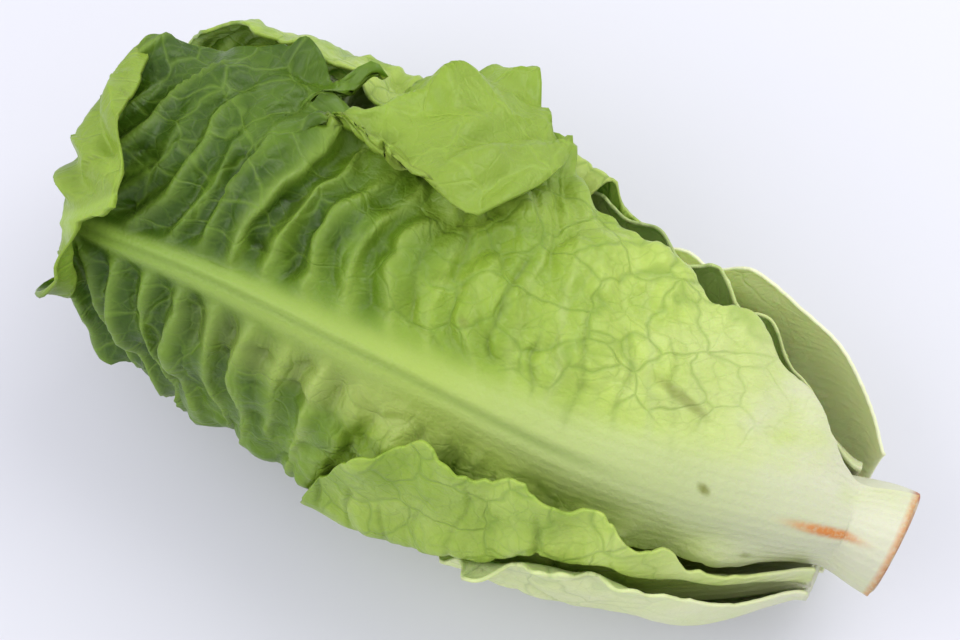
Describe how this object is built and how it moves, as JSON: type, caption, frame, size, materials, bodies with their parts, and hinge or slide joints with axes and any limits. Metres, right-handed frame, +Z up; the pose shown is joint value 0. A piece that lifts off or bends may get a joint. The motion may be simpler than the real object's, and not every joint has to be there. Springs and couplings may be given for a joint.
{
  "type": "romaine heart",
  "caption": "Romaine lettuce heart lying on its side: crinkled overlapping leaves with pale midribs round a short stem with a flat browned cut.",
  "frame": {"origin": "under the middle of the head's box, on the surface it lies on", "axes": "+X along the head from the leaf tips to the cut stem, +Y to its back, +Z up"},
  "size_m": [0.2036, 0.1024, 0.099],
  "materials": {
    "stem": "moist pale flesh with a browned cut face",
    "top_leaf": "waxy leaf blade with a pale glossy rib",
    "front_leaf": "waxy leaf blade with a pale glossy rib",
    "lower_front_leaf": "waxy leaf blade with a pale glossy rib",
    "lower_back_leaf": "waxy leaf blade with a pale glossy rib",
    "back_leaf": "waxy leaf blade with a pale glossy rib",
    "tip_leaf": "waxy leaf blade with a pale glossy rib",
    "under_leaf": "waxy leaf blade with a pale glossy rib",
    "inner_leaf_1": "waxy leaf blade with a pale glossy rib",
    "inner_leaf_2": "waxy leaf blade with a pale glossy rib",
    "inner_leaf_3": "waxy leaf blade with a pale glossy rib",
    "inner_leaf_4": "waxy leaf blade with a pale glossy rib",
    "inner_leaf_5": "waxy leaf blade with a pale glossy rib"
  },
  "bodies": {
    "root": {"stem": "stem", "top_leaf": "top_leaf", "front_leaf": "front_leaf", "lower_front_leaf": "lower_front_leaf", "lower_back_leaf": "lower_back_leaf", "back_leaf": "back_leaf", "tip_leaf": "tip_leaf", "under_leaf": "under_leaf", "inner_leaf_1": "inner_leaf_1", "inner_leaf_2": "inner_leaf_2", "inner_leaf_3": "inner_leaf_3", "inner_leaf_4": "inner_leaf_4", "inner_leaf_5": "inner_leaf_5"}
  },
  "joints": []
}
